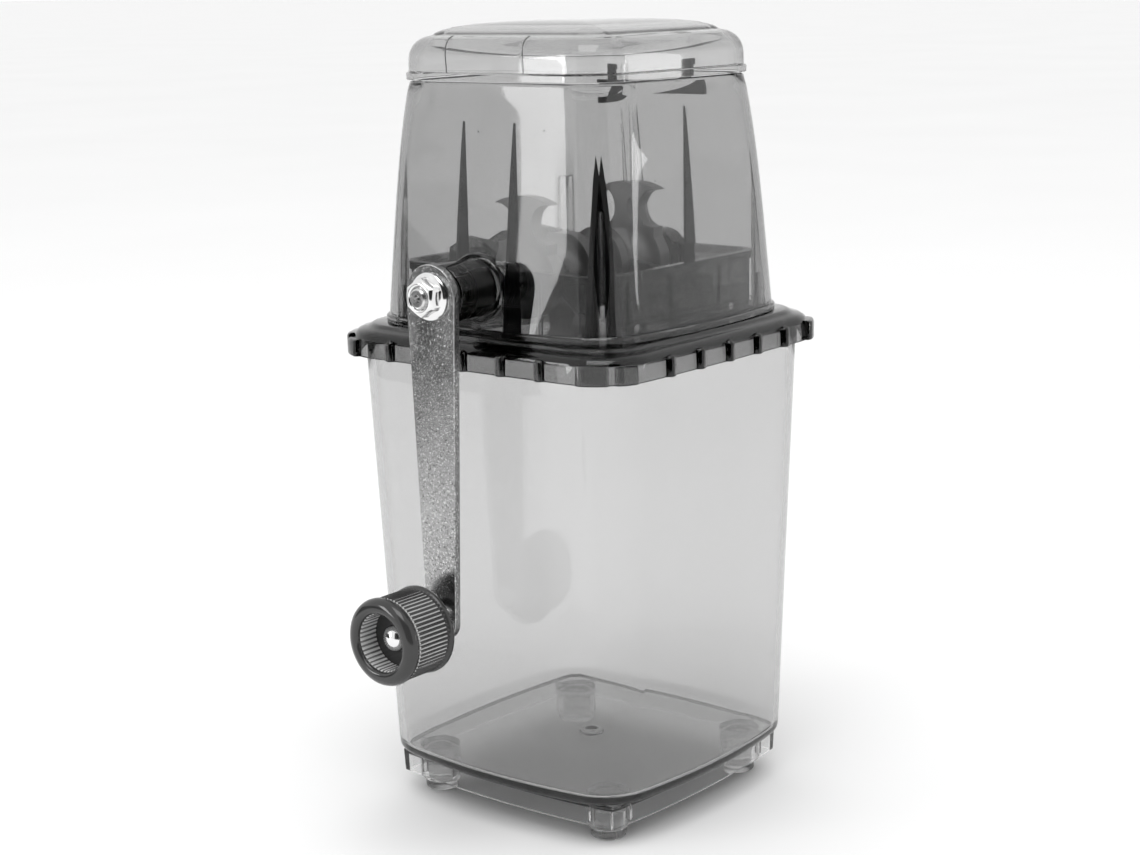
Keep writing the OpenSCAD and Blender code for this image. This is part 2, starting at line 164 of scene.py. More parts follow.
def turned(name, profile, centre_x=0.0, centre_z=0.0, steps=96, ripple=None, axis="Y"):
    """Profile of (radius, place along the axis) turned about an axis along Y, or Z at centre_x, centre_z.

    ripple(i, angle) may change the radius of profile point i round the turn.
    """
    bm = bmesh.new()
    loops = []
    for i, (radius, along) in enumerate(profile):
        loop = []
        for k in range(steps):
            a = 2 * math.pi * k / steps
            r = radius + (ripple(i, a) if ripple else 0)
            if axis == "Y":
                loop.append(bm.verts.new((centre_x + r * math.cos(a), along, centre_z + r * math.sin(a))))
            else:
                loop.append(bm.verts.new((centre_x + r * math.cos(a), centre_z + r * math.sin(a), along)))
        loops.append(loop)
    closed = profile[0] == profile[-1]
    if closed:
        bmesh.ops.delete(bm, geom=loops[-1], context="VERTS")
        loops[-1] = loops[0]
    for low, high in zip(loops, loops[1:]):
        for k in range(steps):
            j = (k + 1) % steps
            bm.faces.new((low[k], low[j], high[j], high[k]))
    if not closed:
        bm.faces.new(loops[0])
        bm.faces.new(loops[-1])
    return object_from(name, bm)


def box(name, lo, hi):
    bm = bmesh.new()
    bmesh.ops.create_cube(bm, size=1)
    size = Vector(hi) - Vector(lo)
    bm.transform(Matrix.Translation((Vector(lo) + Vector(hi)) / 2) @ Matrix.Diagonal((*size, 1)))
    return object_from(name, bm)


def joined(objects):
    """One object that holds the meshes of several."""
    bm = bmesh.new()
    for obj in objects:
        bm.from_mesh(obj.data)
        bpy.data.objects.remove(obj)
    mesh = bpy.data.meshes.new("joined")
    bm.to_mesh(mesh)
    bm.free()
    return new_object("joined", mesh)


def combine(base, tool, operation, overlapping=False):
    """Adds a tool to a base, or cuts it away, and removes the tool."""
    step = base.modifiers.new("combine", "BOOLEAN")
    step.operation = operation
    step.solver = "EXACT"
    step.use_self = overlapping
    step.object = tool
    bpy.context.view_layer.update()
    graph = bpy.context.evaluated_depsgraph_get()
    mesh = bpy.data.meshes.new_from_object(base.evaluated_get(graph))
    base.modifiers.clear()
    base.data = mesh
    bpy.data.objects.remove(tool)
    return base


def refined(node, bevel=0.3, angle=30, segments=3):
    """A copy of a CAD node's mesh with its hard edges rounded, that stands for the node."""
    bm = bmesh.new()
    bm.from_mesh(NODES[node].data)
    bmesh.ops.remove_doubles(bm, verts=bm.verts, dist=0.002 * MM)
    bmesh.ops.dissolve_limit(bm, angle_limit=math.radians(0.4), verts=bm.verts, edges=bm.edges)
    if SLOT[node] in GAPPED:
        bm.normal_update()
        for vertex, normal in [(v, v.normal.copy()) for v in bm.verts]:
            vertex.co -= normal * GAP * MM
    hard = [e for e in bm.edges if len(e.link_faces) == 2 and e.calc_face_angle() > math.radians(angle)]
    bmesh.ops.bevel(bm, geom=hard, offset=bevel * MM, segments=segments, profile=0.5,
                    affect="EDGES", clamp_overlap=True)
    mesh = bpy.data.meshes.new(node + "_piece")
    bm.to_mesh(mesh)
    bm.free()
    obj = new_object(node + "_piece", mesh)
    smooth(obj, 40)
    keep = obj.modifiers.new("flat_faces", "WEIGHTED_NORMAL")
    keep.keep_sharp = True
    return obj


# ---- node helpers for materials ----

class Shader:
    """Builds one node material."""

    def __init__(self, name):
        self.material = bpy.data.materials.new(name)
        self.material.use_nodes = True
        self.tree = self.material.node_tree
        self.tree.nodes.clear()
        self.output = self.tree.nodes.new("ShaderNodeOutputMaterial")
        self.principled = self.tree.nodes.new("ShaderNodeBsdfPrincipled")
        self.link(self.principled.outputs["BSDF"], self.output.inputs["Surface"])
        self.place = self.tree.nodes.new("ShaderNodeTexCoord").outputs["Object"]

    def link(self, a, b):
        self.tree.links.new(a, b)

    def set(self, **values):
        for name, value in values.items():
            self.principled.inputs[name.replace("_", " ")].default_value = value

    def stretched(self, x, y, z):
        node = self.tree.nodes.new("ShaderNodeMapping")
        node.inputs["Scale"].default_value = (x, y, z)
        self.link(self.place, node.inputs["Vector"])
        return node.outputs["Vector"]

    def noise(self, scale, detail=3, roughness=0.5, at=None):
        node = self.tree.nodes.new("ShaderNodeTexNoise")
        node.inputs["Scale"].default_value = scale
        node.inputs["Detail"].default_value = detail
        node.inputs["Roughness"].default_value = roughness
        self.link(at or self.place, node.inputs["Vector"])
        return node.outputs["Fac"]

    def cells(self, scale):
        node = self.tree.nodes.new("ShaderNodeTexVoronoi")
        node.inputs["Scale"].default_value = scale
        self.link(self.place, node.inputs["Vector"])
        return node.outputs["Distance"]

    def remap(self, value, low, high, to_low, to_high):
        node = self.tree.nodes.new("ShaderNodeMapRange")
        for name, number in (("From Min", low), ("From Max", high), ("To Min", to_low), ("To Max", to_high)):
            node.inputs[name].default_value = number
        self.link(value, node.inputs["Value"])
        return node.outputs["Result"]

    def math(self, operation, a, b):
        node = self.tree.nodes.new("ShaderNodeMath")
        node.operation = operation
        for socket, value in zip(node.inputs, (a, b)):
            if isinstance(value, (int, float)):
                socket.default_value = value
            else:
                self.link(value, socket)
        return node.outputs["Value"]

    def ramp(self, value, dark, light):
        """Greys between two values."""
        node = self.tree.nodes.new("ShaderNodeMix")
        node.data_type = "RGBA"
        node.inputs["A"].default_value = (*dark, 1)
        node.inputs["B"].default_value = (*light, 1)
        self.link(value, node.inputs["Factor"])
        return node.outputs["Result"]

    def bump(self, height, strength, distance):
        node = self.tree.nodes.new("ShaderNodeBump")
        node.inputs["Strength"].default_value = strength
        node.inputs["Distance"].default_value = distance
        self.link(height, node.inputs["Height"])
        self.link(node.outputs["Normal"], self.principled.inputs["Normal"])


def grey(value):
    return (value, value, value)


def clear_plastic(name, absorb, shadow, haze=0.02, specks=False, ripple=0.06):
    """Moulded see-through plastic that darkens with its thickness.

    absorb is the loss per metre inside it, and shadow the share of lamp light that each surface lets by.
    haze is its roughness, specks adds moulding specks, and ripple is the height of its waviness.
    """
    s = Shader(name)
    s.set(Transmission_Weight=1.0, IOR=1.5, Metallic=0.0)
    scuffs = s.noise(260, 4, 0.6, s.stretched(1, 1, 0.12))
    patches = s.noise(35, 3)
    worn = s.math("MULTIPLY", s.remap(scuffs, 0.62, 0.78, 0, 1), s.remap(patches, 0.5, 0.7, 0, 1))
    s.link(s.math("ADD", s.remap(patches, 0.3, 0.7, haze, haze * 2), s.math("MULTIPLY", worn, 0.12)),
           s.principled.inputs["Roughness"])
    s.set(Base_Color=(1, 1, 1, 1))
    if specks:
        dots = s.remap(s.cells(75), 0.012, 0.03, 1, 0)
        s.link(s.ramp(dots, grey(1.0), grey(0.03)), s.principled.inputs["Base Color"])
    s.bump(s.math("ADD", s.noise(14, 2), s.math("MULTIPLY", worn, 0.3)), ripple, 0.002)
    lamps = s.tree.nodes.new("ShaderNodeLightPath")
    through = s.tree.nodes.new("ShaderNodeBsdfTransparent")
    through.inputs["Color"].default_value = (*grey(shadow), 1)
    mix = s.tree.nodes.new("ShaderNodeMixShader")
    s.link(lamps.outputs["Is Shadow Ray"], mix.inputs["Fac"])
    s.link(s.principled.outputs["BSDF"], mix.inputs[1])
    s.link(through.outputs["BSDF"], mix.inputs[2])
    s.link(mix.outputs["Shader"], s.output.inputs["Surface"])
    volume = s.tree.nodes.new("ShaderNodeVolumeAbsorption")
    volume.inputs["Color"].default_value = (*grey(0.5), 1)
    volume.inputs["Density"].default_value = 2 * absorb
    s.link(volume.outputs["Volume"], s.output.inputs["Volume"])
    return s.material


def zinc_plate(name):
    """Dull zinc-plated sheet with a fine spangle, small pits and painted glints: small bright spots painted into
    its colour.
    """
    s = Shader(name)
    s.set(Metallic=1.0)
    spangle = s.noise(650, 3, 0.7)
    cloud = s.noise(45, 4, 0.6)
    pits = s.remap(s.noise(1100, 2, 0.8), 0.34, 0.42, 1, 0)
    # Painted glints: small bright spots added to the base colour stand in for sparkle highlights.
    painted_glints = s.remap(s.noise(1300, 2, 0.8), 0.58, 0.66, 0, 1)
    tone = s.math("ADD", s.math("MULTIPLY", spangle, 0.5), s.math("MULTIPLY", cloud, 0.5))
    tone = s.math("SUBTRACT", s.math("ADD", tone, s.math("MULTIPLY", painted_glints, 1.1)),
                  s.math("MULTIPLY", pits, 0.3))
    s.link(s.ramp(tone, grey(0.06), grey(0.66)), s.principled.inputs["Base Color"])
    s.link(s.remap(cloud, 0.3, 0.7, 0.17, 0.3), s.principled.inputs["Roughness"])
    s.bump(s.math("ADD", spangle, pits), 0.25, 0.0001)
    return s.material


def bright_plate(name, rough=0.07, tone=0.86):
    """Polished plating with faint handling marks."""
    s = Shader(name)
    s.set(Metallic=1.0)
    marks = s.noise(320, 4, 0.65)
    s.link(s.ramp(marks, grey(tone - 0.14), grey(tone)), s.principled.inputs["Base Color"])
    s.link(s.remap(marks, 0.35, 0.7, rough, rough + 0.1), s.principled.inputs["Roughness"])
    s.bump(s.noise(120, 2), 0.1, 0.0003)
    return s.material


def cast_metal(name, dark=0.1, light=0.32):
    """Cast and tumbled metal with a mottled tone and roughness."""
    s = Shader(name)
    s.set(Metallic=0.85)
    grain = s.noise(700, 4, 0.7)
    cloud = s.noise(90, 3)
    mixed = s.math("ADD", s.math("MULTIPLY", grain, 0.4), s.math("MULTIPLY", cloud, 0.6))
    s.link(s.ramp(mixed, grey(dark), grey(light)), s.principled.inputs["Base Color"])
    s.link(s.remap(grain, 0.3, 0.7, 0.28, 0.48), s.principled.inputs["Roughness"])
    s.bump(grain, 0.2, 0.00015)
    return s.material


def gloss_plastic(name, tone):
    """Glossy moulded plastic too thick to see through."""
    s = Shader(name)
    s.set(Metallic=0.0, IOR=1.5)
    cloud = s.noise(160, 3)
    s.link(s.ramp(cloud, grey(tone * 0.8), grey(tone * 1.2)), s.principled.inputs["Base Color"])
    s.link(s.remap(cloud, 0.3, 0.7, 0.06, 0.14), s.principled.inputs["Roughness"])
    s.bump(s.noise(500, 2), 0.04, 0.0001)
    return s.material


def nylon(name):
    s = Shader(name)
    s.set(Metallic=0.0)
    cloud = s.noise(120, 3)
    s.link(s.ramp(cloud, grey(0.62), grey(0.8)), s.principled.inputs["Base Color"])
    s.link(s.remap(cloud, 0.3, 0.7, 0.38, 0.55), s.principled.inputs["Roughness"])
    s.bump(s.noise(500, 2), 0.1, 0.0001)
    return s.material


MATERIALS = {
    "clear": clear_plastic("clear_plastic", 125, 0.93, haze=0.0, ripple=0.02),
    "smoke_light": clear_plastic("light_smoke_plastic", 60, 0.9, haze=0.03, ripple=0.08),
    "smoke": clear_plastic("smoke_plastic", 215, 0.8, specks=True, ripple=0.06),
    "smoke_dark": clear_plastic("dark_smoke_plastic", 520, 0.7, haze=0.03, ripple=0.08),
    "foot": clear_plastic("foot_plastic", 70, 0.88, haze=0.16, ripple=0.12),
    "steel": bright_plate("turned_steel", 0.2, 0.7),
    "claw": cast_metal("cast_claw"),
    "zinc": zinc_plate("zinc_plate"),
    "chrome": bright_plate("chrome_plate"),
    "fastener": bright_plate("screw_steel", 0.18, 0.75),
    "bush": nylon("nylon_bush"),
}


# Dark gloss plastic: the own colour of the knob and lid tongue; on the hopper's ribs and flanks it is painted
# shade.
DARK_GLOSS = gloss_plastic("dark_gloss_plastic", 0.03)


def finish_piece(obj, *nodes):
    """Gives a piece its nodes' material, body and slot, and lets it stand for them."""
    obj.data.materials.clear()
    obj.data.materials.append(MATERIALS[SLOT[nodes[0]]])
    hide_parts(*nodes)
    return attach(obj, BODY[nodes[0]])


# ---- container and base ----

def quarter_arc(radius, steps=6):
    """(inset, rise) pairs of a rounded edge, from flat to upright."""
    for i in range(steps + 1):
        a = math.pi / 2 * i / steps
        yield radius * (1 - math.sin(a)), radius * (1 - math.cos(a))


def make_container():
    foot, rim, corner = 50.1, 54.2, 18
    bottom, top = CONTAINER_LO.z, CONTAINER_HI.z
    floor = bottom + 2.4
    edge, fillet, lip = 3.2, 2.4, WALL / 2

    def ring(z, inset):
        share = (z - 20) / (top - 20)
        return foot + (rim - foot) * share - inset, corner - inset, 2.7 - 2.1 * share, z

    rings = [ring(floor, 30), ring(floor, 12)]
    rings += [ring(floor + rise, WALL + inset) for inset, rise in quarter_arc(fillet)]
    rings += [ring(floor + fillet + (top - lip - floor - fillet) * i / 12, WALL) for i in range(1, 12)]
    rings += [ring(top - lip + lip * math.sin(math.pi * i / 8), lip + lip * math.cos(math.pi * i / 8))
              for i in range(9)]
    rings += [ring(bottom + edge + (top - lip - bottom - edge) * (1 - i / 12), 0) for i in range(1, 12)]
    rings += [ring(bottom + rise, inset) for inset, rise in reversed(list(quarter_arc(edge)))]
    rings += [ring(bottom, 12), ring(bottom, 30)]
    shell = loft("container_shell", rings)
    gate = turned("gate", [(0.01, floor - 1), (4.6, floor - 1), (4.6, floor + 0.05), (4.2, floor + 0.35),
                           (2.2, floor + 0.4), (1.8, floor + 0.2), (0.01, floor + 0.2)], axis="Z")
    shell = combine(shell, gate, "UNION")
    return finish_piece(smooth(shell), "container")


def make_base_tray():
    low, high = TRAY_LO.z + 3, TRAY_HI.z - 3 * GAP
    half, bow, thick, plate = 43.9, 2.9, 1.6, 2
    outer = loft("base_tray_shell", [(half, 0.8, bow, low), (half + 0.1, 0.8, bow, low + 2),
                                     (half + 0.3, 0.8, bow, high - 0.6), (half - 0.1, 0.8, bow, high)])
    inner = loft("inner", [(half - thick, 0.4, bow, low - 1), (half - thick, 0.4, bow, high - plate)])
    shell = combine(outer, inner, "DIFFERENCE")
    column, place = 6.5, 35
    extras = []
    for sx in (-1, 1):
        for sy in (-1, 1):
            extras.append(turned("column", [(0.01, TRAY_LO.z), (column - 0.3, TRAY_LO.z),
                                            (column, TRAY_LO.z + 0.4), (column, high - 0.2), (0.01, high - 0.2)],
                                 sx * place, sy * place, 48, axis="Z"))
            for along_x in (True, False):
                a, b = place + column - 1, half + 0.6
                lo, hi = sorted((a, b)), (place - 0.6, place + 0.6)
                x, y = (lo, hi) if along_x else (hi, lo)
                xs, ys = sorted(sx * v for v in x), sorted(sy * v for v in y)
                extras.append(box("gusset", (xs[0], ys[0], low + 1), (xs[1], ys[1], high - 1)))
    shell = combine(shell, joined(extras), "UNION", overlapping=True)
    bores = [turned("bore", [(0.01, TRAY_LO.z - 1), (4, TRAY_LO.z - 1), (4, 9.3), (0.01, 9.3)],
                    sx * place, sy * place, 48, axis="Z") for sx in (-1, 1) for sy in (-1, 1)]
    shell = combine(shell, joined(bores), "DIFFERENCE")
    return finish_piece(smooth(shell), "base_tray")


# ---- crushing head ----

def make_collar():
    half, bottom, top = 56.9, COLLAR_LO.z, COLLAR_HI.z
    outer = loft("collar_shell", [
        (half, 17.8, 0.3, bottom), (half - 0.1, 17.8, 0.3, bottom + 2), (half - 0.3, 17.5, 0.3, top - 4.4),
        (half - 0.5, 17.3, 0.3, top - 3.6), (half - 1, 16.9, 0.3, top - 2.7), (half - 1.8, 16.4, 0.35, top - 2),
        (half - 2.8, 15.9, 0.45, top - 1.5), (half - 4, 15.4, 0.7, top - 1.2), (half - 4.8, 15.1, 1.0, top - 0.7),
        (half - 5.4, 15, 1.3, top - 0.2), (half - 6, 15, 1.6, top)])
    grips = []
    rib, rib_top, rib_place = 1.7, top - 4.8, half + 0.4
    for q in range(4):
        turn = Matrix.Rotation(math.pi / 2 * q, 4, "Z")
        for i in range(-2, 3):
            profile = [(0.01, bottom + 0.05), (rib - 0.2, bottom + 0.05), (rib, bottom + 0.3), (rib, rib_top)]
            profile += [(rib * math.cos(a), rib_top + rib * math.sin(a))
                        for a in (math.pi / 2 * k / 6 for k in range(1, 6))] + [(0.01, rib_top + rib)]
            piece = turned("rib", profile, 15 * i, rib_place, 24, axis="Z")
            piece.data.transform(turn)
            grips.append(piece)
        for start, sweep, height in ((14, 30, 6.4), (50, 22, 5.6)):
            piece = corner_block(half - 17.8, 17.8, bottom + 0.05, height, start, sweep)
            piece.data.transform(turn)
            grips.append(piece)
    shell = combine(outer, joined(grips), "UNION", overlapping=True)
    hollow = loft("hollow", [(half - 1.7, 16.4, 0.3, bottom - 1), (half - 1.7, 16.4, 0.3, CONTAINER_HI.z + 0.3)])
    shell = combine(shell, hollow, "DIFFERENCE")
    upper = loft("upper", [(48, 12, 0, CONTAINER_HI.z - 1), (48, 12, 0, top - 2 + GAP)])
    shell = combine(shell, upper, "DIFFERENCE")
    mouth = loft("mouth", [(41.3, 10.3, 0, top - 3), (41.3, 10.3, 0, top + 1)])
    shell = combine(shell, mouth, "DIFFERENCE")
    return finish_piece(smooth(shell), "collar")


def corner_block(centre, radius, bottom, height, start, sweep):
    """Raised grip that follows a rounded corner, with its edges eased."""
    profile = [(-1, 0), (1.6, 0), (1.9, 0.3), (1.9, height - 1.1), (1.6, height - 0.5), (1, height - 0.2),
               (-1, height - 0.2)]
    steps = 10
    bm = bmesh.new()
    loops = []
    for i in range(steps + 1):
        a = math.radians(start + sweep * i / steps)
        ease = 0.5 if i in (0, steps) else 0
        loops.append([bm.verts.new((centre + (radius + max(out - ease, -1)) * math.cos(a),
                                    centre + (radius + max(out - ease, -1)) * math.sin(a), bottom + up))
                      for out, up in profile])
    for one, two in zip(loops, loops[1:]):
        for k in range(len(profile)):
            j = (k + 1) % len(profile)
            bm.faces.new((one[k], one[j], two[j], two[k]))
    bm.faces.new(loops[0])
    bm.faces.new(loops[-1])
    return object_from("block", bm)


def hopper_ring(share, inset=0.0):
    foot, mouth = 48.4, 41.3
    z0 = HOPPER_LO.z + 2.4
    half = foot - (foot - mouth) * (0.775 * share + 0.225 * share ** 4)
    return half - inset, 17.5 - 3.2 * share - inset, 2.6 * (1 - 0.92 * share), z0 + (HOPPER_HI.z - z0) * share


def make_hopper():
    steps, bottom, top = 18, HOPPER_LO.z + 2 * GAP, HOPPER_HI.z
    band = [(48.9, 17.6, 2.8, bottom), (49.2, 17.8, 2.8, bottom + 0.3), (49.2, 17.8, 2.8, bottom + 1.8),
            (48.9, 17.7, 2.7, bottom + 2.2)]
    rings = band + [hopper_ring(i / steps) for i in range(steps)]
    half, corner, bow, _ = hopper_ring(1)
    lip = WALL / 2
    rings += [(half - lip + lip * math.cos(a), corner, bow, top - lip + lip * math.sin(a))
              for a in (math.pi * k / 8 for k in range(9))]
    rings += [hopper_ring(i / steps, WALL) for i in range(steps - 1, -1, -1)]
    rings.append((46.4, 15.5, 2.6, bottom))
    shell = ring_shell("hopper_shell", rings)
    skin = loft("skin", [(49, 17.6, 2.7, bottom)] + [hopper_ring(i / steps, 0.4) for i in range(steps)]
                + [hopper_ring(1, 0.4)])
    inner_parts, painted_shade_parts = [], []
    rib_x, rib_face, rib_thick = 10, 41.4, 0.9
    for sx in (-1, 1):
        for sy in (-1, 1):
            # Ribs and corner flanks in the dark gloss are painted shade, standing in for the dark refraction
            # lines in the walls. The rear left rib stays see-through, because it shows no dark line
            ribs = painted_shade_parts if sy < 0 or sx > 0 else inner_parts
            ribs.append(box("rib", (sx * rib_x - rib_thick / 2, min(sy * rib_face, sy * 60), bottom + 0.2),
                            (sx * rib_x + rib_thick / 2, max(sy * rib_face, sy * 60), top - 8)))
            inner_parts.append(turned("post", [(0.01, bottom + 0.2), (2.4, bottom + 0.2), (2.4, top - 8),
                                               (0.01, top - 8)],
                                      sx * POST_PLACE, sy * POST_PLACE, 40, axis="Z"))
    # The flanks are opaque dark strips inside the near corner: painted shade for the dark bands along that
    # corner.
    near, side = (38.6, 60), (37.5, 38.7)
    for x, y in ((near, side), (side, near)):
        painted_shade_parts.append(box("flank", (x[0], -y[1], bottom + 0.2), (x[1], -y[0], top - 8)))
    inner = combine(joined(inner_parts), skin, "INTERSECT", overlapping=True)
    shell = combine(shell, inner, "UNION")
    gapped = loft("gapped", [(46.8, 15.6, 2.6, bottom)]
                  + [hopper_ring(i / steps, WALL + 2 * GAP) for i in range(steps + 1)])
    dark = combine(joined(painted_shade_parts), gapped, "INTERSECT", overlapping=True)
    # Painted shade: the hopper's dark ribs and flanks, in opaque dark gloss.
    dark.name = "hopper_dark_ribs"
    dark.data.materials.append(DARK_GLOSS)
    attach(smooth(dark), BODY["hopper"])
    pad = turned("pad", [(0.01, -50.7), (10.1, -50.7), (10.5, -50.3), (10.5, -46.6), (0.01, -46.6)],
                 0, SHAFT_Z, 72)
    shell = combine(shell, pad, "UNION")
    holes = [turned("hole", [(7.2, -60), (7.2, -40)], 0, SHAFT_Z, 72)]
    for sx in (-1, 1):
        for sy in (-1, 1):
            tip = 195
            profile = [(0.01, bottom - 1), (1.2, bottom - 1), (1.2, tip)]
            profile += [(1.2 * math.cos(a), tip + 1.2 * math.sin(a)) for a in (0.4, 0.8, 1.2)]
            profile.append((0.01, tip + 1.2))
            holes.append(turned("pilot", profile, sx * POST_PLACE, sy * POST_PLACE, 24, axis="Z"))
    shell = combine(shell, joined(holes), "DIFFERENCE")
    return finish_piece(smooth(shell), "hopper")


def ring_shell(name, rings):
    """Closed tube wall through rings that come back round to where they start."""
    bm = bmesh.new()
    loops = [[bm.verts.new((x, y, z)) for x, y in outline(half, radius, bow)] for half, radius, bow, z in rings]
    for low, high in zip(loops, loops[1:] + loops[:1]):
        for i in range(len(low)):
            j = (i + 1) % len(low)
            bm.faces.new((low[i], low[j], high[j], high[i]))
    return object_from(name, bm)


# ---- lid ----

LID_OUTSIDE = [(0.15, 0), (0, 0.15), (0, 2.0), (0.35, 2.25), (0.75, 2.5), (0.8, 4.5), (0.85, 6.5), (1.05, 7.8),
               (1.5, 9.1), (2.2, 10.4), (3.1, 11.4), (4.2, 12.2), (5.4, 12.8), (6.8, 13.15), (7.9, 13.35),
               (8.4, 13.75), (9.0, 14.2), (10.5, 14.8), (14, 15.7), (19, 16.4), (25, 16.9), (31, 17.15),
               (37, 17.25)]
LID_INSIDE = [(37, 15.5), (31, 15.4), (25, 15.15), (19, 14.7), (14, 14), (10.5, 12.9), (8, 11.7), (6.2, 10.8),
              (4.8, 10), (3.9, 9), (3.1, 7.8), (2.7, 6.5), (2.5, 2.5), (1.8, 2), (1.8, 0)]


def make_lid():
    base, half = LID_LO.z, 41.9

    def ring(inset, rise):
        return half - inset, max(14.3 - 0.8 * inset, 1), 0.2, base + rise

    shell = loft("lid_shell", [ring(*p) for p in LID_INSIDE + LID_OUTSIDE])
    edge = [(inset, base + rise) for inset, rise in LID_OUTSIDE if rise > 2.4 and inset < 7]
    for x, width in ((-17.5, 0.45), (13, 0.7)):
        shell = combine(shell, seam(x, width, half + 0.2, edge), "UNION")
    finish_piece(smooth(shell, 40), "lid")
    shell.data.materials[0] = clear_plastic("lid_plastic", 150, 0.85, specks=True, ripple=0.1)


def seam(x, width, half, edge):
    """Fine raised line that runs up the lid's front and over its shoulder."""
    bm = bmesh.new()
    loops = []
    for k, (inset, z) in enumerate(edge):
        drift = 0.02 * (z - edge[0][1]) ** 2
        before, after = edge[max(k - 1, 0)], edge[min(k + 1, len(edge) - 1)]
        out = Vector((0, -(after[1] - before[1]), after[0] - before[0])).normalized()
        at = Vector((x - drift, -(half - inset), z))
        loops.append([bm.verts.new(at + Vector((side * width / 2, 0, 0)) + out * depth)
                      for side, depth in ((-1, -0.5), (1, -0.5), (1, 0.05), (0.5, 0.2), (-0.5, 0.2), (-1, 0.05))])
    for one, two in zip(loops, loops[1:]):
        for k in range(6):
            j = (k + 1) % 6
            bm.faces.new((one[k], one[j], two[j], two[k]))
    bm.faces.new(loops[0])
    bm.faces.new(loops[-1])
    return object_from("seam", bm)


# ---- knob ----

def make_knob():
    """Fluted grip with a rounded bezel, a ribbed open bore and a narrower neck, with painted highlights on its
    flutes and bezel edge and painted light in its bore.
    """
    flutes, ribs, front, neck_end = 60, 40, KNOB_LO.y, KNOB_HI.y
    back, floor, bore, hole, body = front + 19.4, front + 7.9, 8.9, 2.55, 12.9
    profile = [(hole, neck_end), (6.7, neck_end), (7, neck_end - 0.3), (7, back + 0.5), (7.4, back + 0.1),
               (11.8, back), (12.7, back - 0.3), (13.3, back - 0.9), (13.4, back - 1.6), (13.3, back - 2.2),
               (12.8, back - 2.6)]
    grooved = range(len(profile), len(profile) + 4)
    profile += [(body, back - 2.9), (body, back - 7), (body, front + 8), (body, front + 4.6)]
    profile += [(12.5, front + 4.3), (12.9, front + 4.0), (13.3, front + 3.2), (13.3, front + 2.2),
                (12.9, front + 1.2), (12.1, front + 0.4), (11, front + 0.05), (10.2, front), (9.4, front + 0.2),
                (9, front + 0.7), (bore, front + 1.4)]
    ribbed = range(len(profile), len(profile) + 2)
    profile += [(bore, front + 1.8), (bore, floor - 0.4), (bore - 0.2, floor), (hole + 0.8, floor),
                (hole, floor), (hole, neck_end)]

    def ripple(i, a):
        if i in grooved:
            return -0.3 * (1 - math.cos(flutes * a))
        if i in ribbed:
            return -0.22 * (1 + math.cos(ribs * a))
        return 0

    grip = turned("knob_grip", profile, 0, KNOB_Z, 720, ripple)
    finish_piece(smooth(grip, 50), "crank_knob")
    grip.data.materials[0] = DARK_GLOSS
    # Lighter copies of the grip's plastic paint light onto it: painted highlight lines along the flutes and the
    # bezel edge, and a pale bore with darker rib lines painted where light comes through the open bore.
    for k, tone in enumerate((0.5, 0.6, 0.13), 1):
        grip.data.materials.append(gloss_plastic("knob_painted_light_" + str(k), tone))
    for face in grip.data.polygons:
        x, y, z = face.center / MM
        radius, turn = math.hypot(x, z - KNOB_Z), math.atan2(z - KNOB_Z, x)
        # Painted light in the bore: pale faces with darker lines between the ribs.
        if radius < 9.3 and front + 1.4 < y < floor - 0.1:
            face.material_index = 2 if math.cos(ribs * turn) < 0.3 else 3
        # Painted highlights: a pale ring at the front bezel edge and a pale line in each flute.
        elif radius > 12 and front + 4 < y < back - 2.9:
            lit = y < front + 4.5 or math.cos(flutes * turn) < -0.6
            face.material_index = 1 if lit else 0


def make_nut():
    """Flanged hexagon nut with a domed flange, a turned step and eased corners."""
    seat, top = ARM_LO.y, NUT_LO.y
    profile = [(3.02, seat), (6.8, seat), (7.1, seat - 0.25), (7.1, seat - 0.6), (6.85, seat - 0.95),
               (6.3, seat - 1.2), (5.9, seat - 1.35), (5.5, seat - 1.5), (5.2, seat - 1.75), (5.2, top + 1.3),
               (5.1, top + 0.8), (4.8, top + 0.35), (4.4, top + 0.06), (4.1, top), (3.8, top + 0.1),
               (3.55, top + 0.4), (3.3, top + 0.7), (3.02, top + 0.8), (3.02, seat)]
    shares = {7: 0.7, 8: 1, 9: 1, 10: 0.75, 11: 0.35}

    def ripple(i, a):
        across = 5.2 / math.cos((a + math.pi / 6) % (math.pi / 3) - math.pi / 6) - 5.2
        return shares.get(i, 0) * min(across, 0.7)

    nut = turned("flange_nut", profile, 0, SHAFT_Z, 180, ripple)
    finish_piece(smooth(nut, 35), "crank_nut")


make_container()
make_base_tray()
make_collar()
make_hopper()
make_lid()
make_knob()
make_nut()

BEVELS = {"claw_1": 0.8, "claw_2": 0.8, "claw_3": 0.8, "claw_4": 0.8, "crank_arm": 0.35, "crusher_box": 0.25,
          "comb_left": 0.4, "comb_right": 0.4, "knob_rivet": 0.15, "lid_tongue": 0.35}
BUILT = {"container", "base_tray", "collar", "hopper", "lid", "crank_knob", "crank_nut"}
for node in sorted(set(NODES) - BUILT):
    piece = finish_piece(refined(node, BEVELS.get(node, 0.2)), node)
    if node == "lid_tongue":
        piece.data.materials[0] = DARK_GLOSS


# ---- stage, lamps and camera ----

def make_floor():
    bm = bmesh.new()
    bmesh.ops.create_grid(bm, x_segments=2, y_segments=2, size=30)
    mesh = bpy.data.meshes.new("floor")
    bm.to_mesh(mesh)
    bm.free()
    floor = new_object("floor", mesh)
    s = Shader("pale_floor")
    s.set(Roughness=0.8)
    s.link(s.ramp(s.noise(3, 2), grey(0.9), grey(0.94)), s.principled.inputs["Base Color"])
    mesh.materials.append(s.material)


